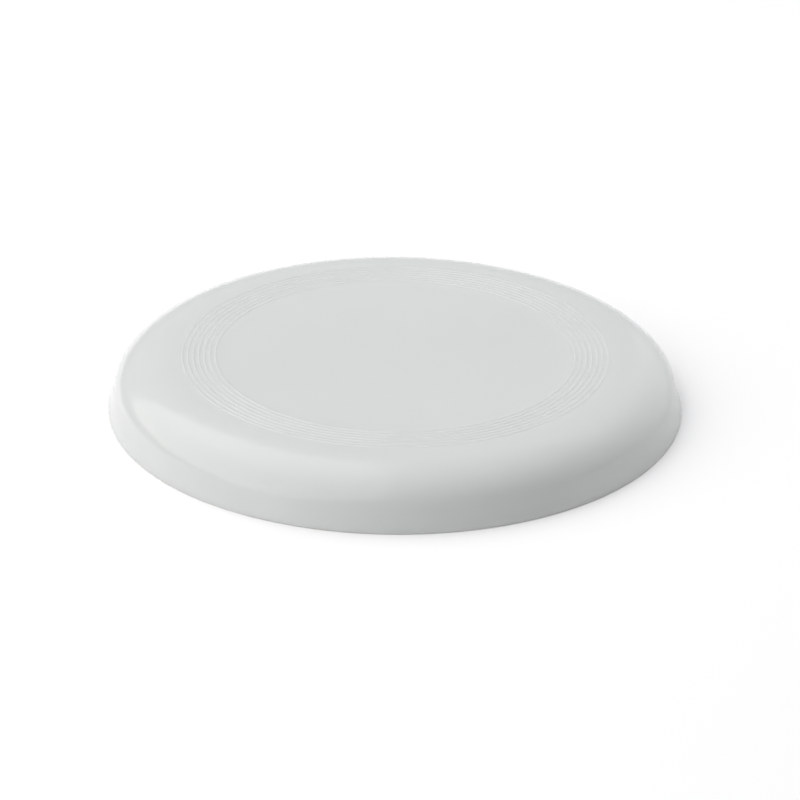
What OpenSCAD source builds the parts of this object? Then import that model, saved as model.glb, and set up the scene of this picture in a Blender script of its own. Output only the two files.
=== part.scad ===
// Flying disc: one thin moulded shell of plastic. A flat plate with fine raised rings turns over a
// rounded shoulder into a low flared rim, and the underside is hollow.
// Origin: centre of the base circle, on the plane of the rim's foot. +Z is up, out of the top plate.

/* [Disc] */
// overall diameter, across the widest line of the foot, mm
disc_d = 230; // [220:1:270]
// height from the foot to the top of the plate, mm
disc_h = 22; // [20:0.5:28]

/* [Plate] */
// radius of the flat top plate, mm
plate_r = 88; // [86:0.5:89]
// thickness of the plate, mm
plate_t = 1.6; // [1.2:0.1:2.4]

/* [Rings] */
// number of raised rings on the plate
ring_n = 7; // [0:1:7]
// radius of the innermost ring's crest, mm
ring_r = 71.8; // [68:0.2:72]
// distance from one crest to the next, mm
ring_pitch = 2.2; // [1.8:0.1:2.2]
// width of a ring at the plate, mm
ring_w = 1.3; // [0.8:0.1:1.5]
// height of a ring above the plate, mm
ring_h = 0.2; // [0.1:0.05:0.35]

/* [Rim] */
// how far the shoulder's quarter ellipse drops below the plate, mm
shoulder_b = 14.5; // [12:0.5:16]
// outward flare of the rim wall from vertical, degrees
flare = 16.5; // [10:0.5:20]
// thickness of the rim wall, mm
wall_t = 2.2; // [1.8:0.1:3]
// radius of the foot's outer edge, mm
foot_r_out = 0.5; // [0.2:0.05:0.5]
// radius of the foot's inner edge, mm
foot_r_in = 0.4; // [0.2:0.05:0.4]

/* [Gate mark] */
// radius of the low moulding stub under the centre, mm
gate_r = 2.5; // [1.5:0.1:4]
// how far the stub stands out of the underside, mm
gate_h = 0.5; // [0.3:0.1:1]

/* [Hidden] */
// the wall's outward normal, measured from +Z
wall_phi = 90 - flare;
// radius where the wall's outer line meets the base plane, just outside the rounded edge
base_r = disc_d / 2 + foot_r_out * ((1 + sin(flare)) / cos(flare) - 1);
// centre height of the shoulder's ellipse
shoulder_z = disc_h - shoulder_b;
// distance from that centre to the wall's outer line
shoulder_q = (base_r - plate_r) * sin(wall_phi) - shoulder_z * cos(wall_phi);
// the ellipse's radial half-axis, from the line it has to touch
shoulder_a = sqrt(pow(shoulder_q, 2) - pow(shoulder_b * cos(wall_phi), 2)) / sin(wall_phi);
under_z = disc_h - plate_t;
ring_arc_r = (pow(ring_w / 2, 2) + pow(ring_h, 2)) / (2 * ring_h);
ring_arc_a = asin(ring_w / 2 / ring_arc_r);
shoulder_steps = 28;
ring_steps = 6;
foot_steps = 6;
turn_steps = 240;

// unit vector in the profile plane, at an angle from +Z towards +R
function dir(phi) = [sin(phi), cos(phi)];
// distance from the ellipse's centre to its tangent with that normal
function reach(phi) = norm([shoulder_a * sin(phi), shoulder_b * cos(phi)]);
// the ellipse's point with that normal
function shoulder_pt(phi) = [
    plate_r + pow(shoulder_a, 2) * sin(phi) / reach(phi),
    shoulder_z + pow(shoulder_b, 2) * cos(phi) / reach(phi)
];
// the shell grows thicker from the plate to the wall
function shell_t(phi) = plate_t + (wall_t - plate_t) * phi / wall_phi;
function ring_top(r) = [
    for (i = [0 : ring_steps])
        [r, disc_h + ring_h - ring_arc_r] + ring_arc_r * dir(ring_arc_a * (2 * i / ring_steps - 1))
];
// radius of a foot edge's centre: s is 1 for the outer edge and -1 for the inner one
function foot_c(r, s) = base_r - (s * r + r * sin(flare) + (s < 0 ? wall_t : 0)) / cos(flare);
function foot_arc(c, r, from, to) = [
    for (i = [0 : foot_steps])
        [c, r] + r * dir(from + (to - from) * i / foot_steps)
];

rings = [
    for (k = [0 : 1 : ring_n - 1])
        each ring_top(ring_r + k * ring_pitch)
];
shoulder_out = [
    for (i = [0 : shoulder_steps])
        shoulder_pt(wall_phi * i / shoulder_steps)
];
shoulder_in = [
    for (i = [shoulder_steps : -1 : 0])
        let (phi = wall_phi * i / shoulder_steps)
        shoulder_pt(phi) - shell_t(phi) * dir(phi)
];
foot_out = foot_arc(foot_c(foot_r_out, 1), foot_r_out, wall_phi, 180);
foot_in = foot_arc(foot_c(foot_r_in, -1), foot_r_in, 180, 180 + wall_phi);
gate = [
    [gate_r + gate_h / 2, under_z],
    [gate_r, under_z - gate_h],
    [0, under_z - gate_h]
];
profile = concat([[0, disc_h]], rings, shoulder_out, foot_out, foot_in, shoulder_in, gate);

// the whole moulding, turned about its axis
module disc() {
    color([0.86, 0.87, 0.865])
        rotate_extrude($fn = turn_steps)
            polygon(profile);
}

disc();
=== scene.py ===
"""Looks of the flying disc: one moulded plastic shell, built as a fine lathed mesh around the CAD frame."""
import math

import bmesh
import bpy
from mathutils import Matrix, Quaternion, Vector


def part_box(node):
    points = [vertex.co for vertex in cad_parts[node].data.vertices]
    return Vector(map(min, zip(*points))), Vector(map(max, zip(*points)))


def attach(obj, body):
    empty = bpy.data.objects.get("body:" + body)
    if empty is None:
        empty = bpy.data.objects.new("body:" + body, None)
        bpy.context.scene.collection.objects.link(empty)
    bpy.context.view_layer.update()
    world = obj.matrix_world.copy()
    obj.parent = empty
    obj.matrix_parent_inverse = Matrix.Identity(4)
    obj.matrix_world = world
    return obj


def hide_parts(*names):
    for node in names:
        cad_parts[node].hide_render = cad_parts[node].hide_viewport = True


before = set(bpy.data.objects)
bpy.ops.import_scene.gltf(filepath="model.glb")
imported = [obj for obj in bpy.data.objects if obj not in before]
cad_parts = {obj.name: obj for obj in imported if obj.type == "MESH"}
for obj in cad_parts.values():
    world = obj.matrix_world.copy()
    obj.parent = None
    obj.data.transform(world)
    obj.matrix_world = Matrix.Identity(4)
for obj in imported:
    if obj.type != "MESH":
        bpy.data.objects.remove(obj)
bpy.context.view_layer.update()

MM = 0.001

# The disc's dimensions, in metres. The overall ones come from the frame.
low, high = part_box("disc")
DISC_R = high.x
RING_H = 0.2 * MM
PLATE_Z = high.z - RING_H
PLATE_R = 88 * MM
PLATE_T = 1.6 * MM
WALL_T = 2.2 * MM
SHOULDER_DROP = 14.5 * MM
FLARE = math.radians(16.5)
FOOT_R_OUT = 0.5 * MM
FOOT_R_IN = 0.4 * MM
RING_COUNT = 7
RING_R = 71.8 * MM
RING_PITCH = 2.2 * MM
RING_W = 1.3 * MM
GATE_R = 2.5 * MM
GATE_H = 0.5 * MM

# How finely the shell is made, and from which angle an edge shades as a crease.
TURN_STEPS = 384
SHOULDER_STEPS = 30
RING_STEPS = 10
FOOT_STEPS = 6
PLATE_STEPS = 10
WALL_STEPS = 4
UNDERSIDE_STEPS = 8
CREASE = math.radians(40)
WELD_DISTANCE = 0.001 * MM

# The plastic: its linear colours where it is a little darker, lighter or worn, the roughness of its gloss,
# and how far light spreads inside it.
PLASTIC_DARK = (0.613, 0.628, 0.618)
PLASTIC_LIGHT = (0.627, 0.642, 0.632)
PLASTIC_WORN = (0.50, 0.505, 0.49)
GLOSS_LOW = 0.13
GLOSS_HIGH = 0.17
LIGHT_DEPTH = 1.2 * MM

# Its fine detail: how many features a metre holds, and how deep the bumps and the handling marks are.
DRIFT_SCALE = 14
RIPPLE_SCALE = 260
GRAIN_SCALE = 2600
RIPPLE_DEPTH = 0.003 * MM
GRAIN_DEPTH = 0.0003 * MM
MARK_DEPTH = 0.0005 * MM

# How much roughness the grain, the marks and the wear add, and how strongly wear tints the foot.
GRAIN_DULLING = 0.03
MARK_DULLING = 0.05
WEAR_DULLING = 0.22
WEAR_TINT = 0.5

# The heights above the floor at which wear starts to fade and is gone, and how uneven that edge is.
WEAR_LOW = 0.8 * MM
WEAR_HIGH = 2.2 * MM
WEAR_UNEVEN = 1.2 * MM

# The studio: the tints of its soft lights and of the room, and how tightly a glow gathers.
SOFTBOX_TINT = (1.0, 0.97, 0.955)
ROOM_TINT = (0.95, 0.978, 1.0)
GLOW_FOCUS = 4.0

# The camera: how far it looks down and rolls, the disc's radius as a share of its distance, how far it stands
# to the right and above, in metres, and its sensor and lens, in the millimetres that Blender takes.
CAMERA_TILT = math.radians(25.6)
CAMERA_ROLL = math.radians(-0.5)
RADIUS_TO_DISTANCE = 0.068
CAMERA_ASIDE = 0.0021
CAMERA_ABOVE = 0.00115
SENSOR_WIDTH = 36
LENS = 189.5


# ---------------------------------------------------------------- the shell's profile

def direction(angle):
    """Unit vector in the profile plane, at an angle from +Z towards the rim."""
    return Vector((math.sin(angle), math.cos(angle)))


def arc(centre, radius, start, end, steps):
    """Points on a circle in the profile plane, by the angle of their normal from +Z."""
    angles = [start + (end - start) * i / steps for i in range(steps + 1)]
    return [Vector(centre) + radius * direction(angle) for angle in angles]


def between(start, end, steps):
    """Evenly spaced points on a straight line, without its two ends."""
    return [Vector(start).lerp(Vector(end), i / steps) for i in range(1, steps)]


def ring_crest(radius):
    """One raised ring: a smooth swell that runs into the plate on both sides."""
    points = []
    for i in range(RING_STEPS + 1):
        share = i / RING_STEPS
        swell = 0.5 - 0.5 * math.cos(2 * math.pi * share)
        points.append(Vector((radius + (share - 0.5) * RING_W, PLATE_Z + RING_H * swell)))
    return points


class Shoulder:
    """The quarter ellipse between the plate and the straight wall, and that wall's line."""

    def __init__(self):
        self.end = math.pi / 2 - FLARE
        self.base_r = DISC_R + FOOT_R_OUT * ((1 + math.sin(FLARE)) / math.cos(FLARE) - 1)
        self.centre = Vector((PLATE_R, PLATE_Z - SHOULDER_DROP))
        reach = (self.base_r - PLATE_R) * math.sin(self.end) - self.centre.y * math.cos(self.end)
        self.half_width = (
            math.sqrt(reach ** 2 - (SHOULDER_DROP * math.cos(self.end)) ** 2) / math.sin(self.end)
        )

    def point(self, angle):
        """The ellipse's point whose outward normal is at that angle."""
        across, up = math.sin(angle), math.cos(angle)
        reach = math.hypot(self.half_width * across, SHOULDER_DROP * up)
        return self.centre + Vector((self.half_width ** 2 * across, SHOULDER_DROP ** 2 * up)) / reach

    def inside(self, angle):
        """The same point on the underside. The shell thickens from the plate to the wall."""
        thickness = PLATE_T + (WALL_T - PLATE_T) * angle / self.end
        return self.point(angle) - thickness * direction(angle)


def shell_profile():
    """The closed outline from the axis on top, over the rim and back to the axis below."""
    shoulder = Shoulder()
    angles = [shoulder.end * i / SHOULDER_STEPS for i in range(SHOULDER_STEPS + 1)]
    rings = [point for k in range(RING_COUNT) for point in ring_crest(RING_R + k * RING_PITCH)]
    outside = [shoulder.point(angle) for angle in angles]
    inside = [shoulder.inside(angle) for angle in reversed(angles)]

    out_r = shoulder.base_r - FOOT_R_OUT * (1 + math.sin(FLARE)) / math.cos(FLARE)
    in_r = shoulder.base_r - (WALL_T - FOOT_R_IN * (1 - math.sin(FLARE))) / math.cos(FLARE)
    foot_out = arc((out_r, FOOT_R_OUT), FOOT_R_OUT, shoulder.end, math.pi, FOOT_STEPS)
    foot_in = arc((in_r, FOOT_R_IN), FOOT_R_IN, math.pi, math.pi + shoulder.end, FOOT_STEPS)

    under_z = PLATE_Z - PLATE_T
    axis_top = Vector((0, PLATE_Z))
    gate_edge = Vector((GATE_R + GATE_H / 2, under_z))
    gate = arc((GATE_R, under_z - GATE_H / 2), GATE_H / 2, math.pi / 2, math.pi, FOOT_STEPS)
    return (
        [axis_top] + between(axis_top, rings[0], PLATE_STEPS) + rings
        + outside + between(outside[-1], foot_out[0], WALL_STEPS) + foot_out
        + foot_in + between(foot_in[-1], inside[0], WALL_STEPS) + inside
        + between(inside[-1], gate_edge, UNDERSIDE_STEPS) + [gate_edge] + gate
        + [Vector((0, under_z - GATE_H))]
    )


def lathe(name, profile, steps):
    """Turns a profile about Z. Its first and last points lie on the axis."""
    bm = bmesh.new()
    top = bm.verts.new((0, 0, profile[0].y))
    bottom = bm.verts.new((0, 0, profile[-1].y))
    loops = []
    for radius, z in profile[1:-1]:
        loop = []
        for i in range(steps):
            turn = 2 * math.pi * i / steps
            loop.append(bm.verts.new((radius * math.cos(turn), radius * math.sin(turn), z)))
        loops.append(loop)
    for i in range(steps):
        j = (i + 1) % steps
        bm.faces.new((top, loops[0][i], loops[0][j]))
        bm.faces.new((bottom, loops[-1][j], loops[-1][i]))
        for upper, lower in zip(loops, loops[1:]):
            bm.faces.new((upper[i], lower[i], lower[j], upper[j]))
    bmesh.ops.remove_doubles(bm, verts=bm.verts, dist=WELD_DISTANCE)
    bmesh.ops.recalc_face_normals(bm, faces=bm.faces)
    mesh = bpy.data.meshes.new(name)
    bm.to_mesh(mesh)
    bm.free()
    mesh.shade_smooth()
    mesh.set_sharp_from_angle(angle=CREASE)
    piece = bpy.data.objects.new(name, mesh)
    bpy.context.scene.collection.objects.link(piece)
    return piece


# ---------------------------------------------------------------- materials

def new_material(name):
    """An empty node material, with its Principled shader."""
    material = bpy.data.materials.new(name)
    material.use_nodes = True
    nodes = material.node_tree.nodes
    nodes.clear()
    shader = nodes.new("ShaderNodeBsdfPrincipled")
    output = nodes.new("ShaderNodeOutputMaterial")
    material.node_tree.links.new(shader.outputs["BSDF"], output.inputs["Surface"])
    return material, shader


def add_noise(tree, coords, scale, detail):
    """A noise texture in the space of coords. scale is in features per unit of it."""
    noise = tree.nodes.new("ShaderNodeTexNoise")
    noise.inputs["Scale"].default_value = scale
    noise.inputs["Detail"].default_value = detail
    tree.links.new(coords, noise.inputs["Vector"])
    return noise.outputs["Fac"]


def map_range(tree, value, from_low, from_high, to_low, to_high):
    """Rescales a value, clamped at both ends."""
    node = tree.nodes.new("ShaderNodeMapRange")
    tree.links.new(value, node.inputs["Value"])
    ends = {"From Min": from_low, "From Max": from_high, "To Min": to_low, "To Max": to_high}
    for socket, number in ends.items():
        node.inputs[socket].default_value = number
    return node.outputs["Result"]


def stretch_noise(tree, noise, to_low, to_high):
    """Rescales the middle part of a noise, where nearly all of it lies."""
    return map_range(tree, noise, 0.3, 0.7, to_low, to_high)


def calculate(tree, operation, *values):
    """A Math node. Each value is a socket or a number."""
    node = tree.nodes.new("ShaderNodeMath")
    node.operation = operation
    for socket, value in zip(node.inputs, values):
        if isinstance(value, (int, float)):
            socket.default_value = value
        else:
            tree.links.new(value, socket)
    return node.outputs["Value"]


def mix_colour(tree, factor, first, second):
    """Mixes two colours. Each is a socket or three numbers."""
    node = tree.nodes.new("ShaderNodeMix")
    node.data_type = "RGBA"
    tree.links.new(factor, node.inputs["Factor"])
    # The node's sockets for other kinds of value have the same names, so its colour sockets go by number.
    colour_sockets = node.inputs[6], node.inputs[7]
    for socket, colour in zip(colour_sockets, (first, second)):
        if isinstance(colour, tuple):
            socket.default_value = (*colour, 1)
        else:
            tree.links.new(colour, socket)
    return node.outputs[2]


def add_bump(tree, height, distance, under=None):
    """A bump of that depth in metres, on top of another one."""
    node = tree.nodes.new("ShaderNodeBump")
    node.inputs["Strength"].default_value = 1.0
    node.inputs["Distance"].default_value = distance
    tree.links.new(height, node.inputs["Height"])
    if under is not None:
        tree.links.new(under, node.inputs["Normal"])
    return node.outputs["Normal"]


def add_scratches(tree, coords, turn, length, width):
    """Faint straight handling marks that run one way: 1 in a mark and 0 elsewhere."""
    stretch = tree.nodes.new("ShaderNodeMapping")
    stretch.inputs["Rotation"].default_value = (0, 0, math.radians(turn))
    stretch.inputs["Scale"].default_value = (1 / length, 1 / width, 1 / length)
    tree.links.new(coords, stretch.inputs["Vector"])
    streaks = add_noise(tree, stretch.outputs["Vector"], scale=1, detail=1)
    return map_range(tree, streaks, 0.70, 0.76, 0, 1)


def plastic():
    """Glossy off-white polypropylene, with handling marks and a foot dulled by use."""
    material, shader = new_material("moulded_plastic")
    tree = material.node_tree
    coords = tree.nodes.new("ShaderNodeTexCoord").outputs["Object"]
    split = tree.nodes.new("ShaderNodeSeparateXYZ")
    tree.links.new(coords, split.inputs["Vector"])

    drift = add_noise(tree, coords, DRIFT_SCALE, detail=3)
    ripple = add_noise(tree, coords, RIPPLE_SCALE, detail=2)
    grain = add_noise(tree, coords, GRAIN_SCALE, detail=2)
    marks_one_way = add_scratches(tree, coords, turn=25, length=30 * MM, width=0.25 * MM)
    marks_other_way = add_scratches(tree, coords, turn=-50, length=22 * MM, width=0.2 * MM)
    marks = calculate(tree, "MAXIMUM", marks_one_way, marks_other_way)
    ragged = calculate(tree, "MULTIPLY_ADD", ripple, WEAR_UNEVEN, split.outputs["Z"])
    wear = map_range(tree, ragged, low.z + WEAR_LOW, low.z + WEAR_HIGH, 1, 0)

    cloudy = mix_colour(tree, stretch_noise(tree, drift, 0, 1), PLASTIC_DARK, PLASTIC_LIGHT)
    colour = mix_colour(tree, calculate(tree, "MULTIPLY", wear, WEAR_TINT), cloudy, PLASTIC_WORN)
    tree.links.new(colour, shader.inputs["Base Color"])

    gloss = stretch_noise(tree, drift, GLOSS_LOW, GLOSS_HIGH)
    gloss = calculate(tree, "ADD", gloss, stretch_noise(tree, grain, 0, GRAIN_DULLING))
    gloss = calculate(tree, "MULTIPLY_ADD", marks, MARK_DULLING, gloss)
    gloss = calculate(tree, "MULTIPLY_ADD", wear, WEAR_DULLING, gloss)
    tree.links.new(gloss, shader.inputs["Roughness"])

    normal = add_bump(tree, ripple, RIPPLE_DEPTH)
    normal = add_bump(tree, grain, GRAIN_DEPTH, normal)
    normal = add_bump(tree, marks, -MARK_DEPTH, normal)
    tree.links.new(normal, shader.inputs["Normal"])

    shader.inputs["IOR"].default_value = 1.49
    shader.inputs["Subsurface Weight"].default_value = 1.0
    shader.inputs["Subsurface Radius"].default_value = (1, 1, 1)
    shader.inputs["Subsurface Scale"].default_value = LIGHT_DEPTH
    return material


# ---------------------------------------------------------------- the studio

def add_floor():
    """A plain pale floor, in the plane that the disc's foot rests on."""
    bpy.ops.mesh.primitive_plane_add(size=12, location=(0, 0, low.z))
    floor = bpy.context.object
    floor.name = "floor"
    material, shader = new_material("pale_floor")
    shader.inputs["Base Color"].default_value = (0.88, 0.88, 0.88, 1)
    shader.inputs["Roughness"].default_value = 0.9
    shader.inputs["Specular IOR Level"].default_value = 0.1
    shader.inputs["Emission Color"].default_value = (1, 1, 1, 1)
    shader.inputs["Emission Strength"].default_value = 0.05
    floor.data.materials.append(material)


def towards(azimuth, elevation):
    """Unit vector from the disc towards a light. Azimuth 0 is +X and 90 is +Y."""
    turn, rise = math.radians(azimuth), math.radians(elevation)
    return Vector((math.cos(turn) * math.cos(rise), math.sin(turn) * math.cos(rise), math.sin(rise)))


def add_softbox(name, azimuth, elevation, width, height, radiance, roll=0, distance=1.2):
    """A square-edged soft light that faces the disc. Roll turns it about the line to the disc."""
    aim = towards(azimuth, elevation)
    data = bpy.data.lights.new(name, "AREA")
    data.shape = "RECTANGLE"
    data.size, data.size_y = width, height
    data.energy = radiance * math.pi * width * height
    data.color = SOFTBOX_TINT
    light = bpy.data.objects.new(name, data)
    bpy.context.scene.collection.objects.link(light)
    light.location = aim * distance
    facing = aim.to_track_quat("Z", "Y") @ Quaternion((0, 0, 1), math.radians(roll))
    light.rotation_euler = facing.to_euler()
    light.visible_camera = False


def add_glow(tree, so_far, azimuth, elevation, strength):
    """Brightens the room softly around one direction, down to nothing at a right angle to it."""
    facing = tree.nodes.new("ShaderNodeVectorMath")
    facing.operation = "DOT_PRODUCT"
    facing.inputs[1].default_value = towards(azimuth, elevation)
    tree.links.new(tree.nodes["Room"].outputs["Generated"], facing.inputs[0])
    front = calculate(tree, "MAXIMUM", facing.outputs["Value"], 0.0)
    fade = calculate(tree, "POWER", front, GLOW_FOCUS)
    return calculate(tree, "MULTIPLY_ADD", fade, strength, so_far)


def add_room():
    """A slightly cool room: brighter overhead, low in front on the left, and low behind on the right."""
    world = bpy.data.worlds.new("studio")
    bpy.context.scene.world = world
    world.use_nodes = True
    tree = world.node_tree
    tree.nodes.new("ShaderNodeTexCoord").name = "Room"
    overhead = add_glow(tree, 0.0, azimuth=0, elevation=90, strength=0.8)
    front_left = add_glow(tree, overhead, azimuth=225, elevation=8, strength=1.12)
    back_right = add_glow(tree, front_left, azimuth=45, elevation=8, strength=0.95)
    back = add_glow(tree, back_right, azimuth=90, elevation=8, strength=0.3)
    back_left = add_glow(tree, back, azimuth=120, elevation=45, strength=0.45)
    background = tree.nodes["Background"]
    background.inputs["Color"].default_value = (*ROOM_TINT, 1)
    tree.links.new(back_left, background.inputs["Strength"])


def add_lights():
    """A very large key light above on the left, and two weaker ones on the right and behind."""
    add_softbox("key_light", azimuth=190, elevation=50, width=2.9, height=1.9, radiance=1.14, roll=-14)
    add_softbox("fill_right", azimuth=25, elevation=20, width=2.4, height=1.2, radiance=0.35, roll=20)
    add_softbox("fill_back", azimuth=90, elevation=65, width=1.4, height=0.8, radiance=0.3, distance=1.0)


def add_camera():
    """The product shot's camera: a long lens, a little to the right of the axis, looking down."""
    distance = DISC_R / RADIUS_TO_DISTANCE
    up = Vector((0, math.sin(CAMERA_TILT), math.cos(CAMERA_TILT)))
    right = Vector((1, 0, 0))
    back = Vector((0, -math.cos(CAMERA_TILT), math.sin(CAMERA_TILT)))
    side = math.cos(CAMERA_ROLL) * right - math.sin(CAMERA_ROLL) * up
    top = math.sin(CAMERA_ROLL) * right + math.cos(CAMERA_ROLL) * up
    data = bpy.data.cameras.new("camera")
    data.sensor_width = SENSOR_WIDTH
    data.lens = LENS
    camera = bpy.data.objects.new("camera", data)
    bpy.context.scene.collection.objects.link(camera)
    place = Matrix((side, top, back)).transposed().to_4x4()
    place.translation = side * CAMERA_ASIDE + top * CAMERA_ABOVE + back * distance
    camera.matrix_world = place
    bpy.context.scene.camera = camera


bpy.context.scene.view_settings.view_transform = "Standard"

disc_shell = lathe("disc_shell", shell_profile(), TURN_STEPS)
disc_shell.data.materials.append(plastic())
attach(disc_shell, "root")
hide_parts("disc")

add_floor()
add_room()
add_lights()
add_camera()
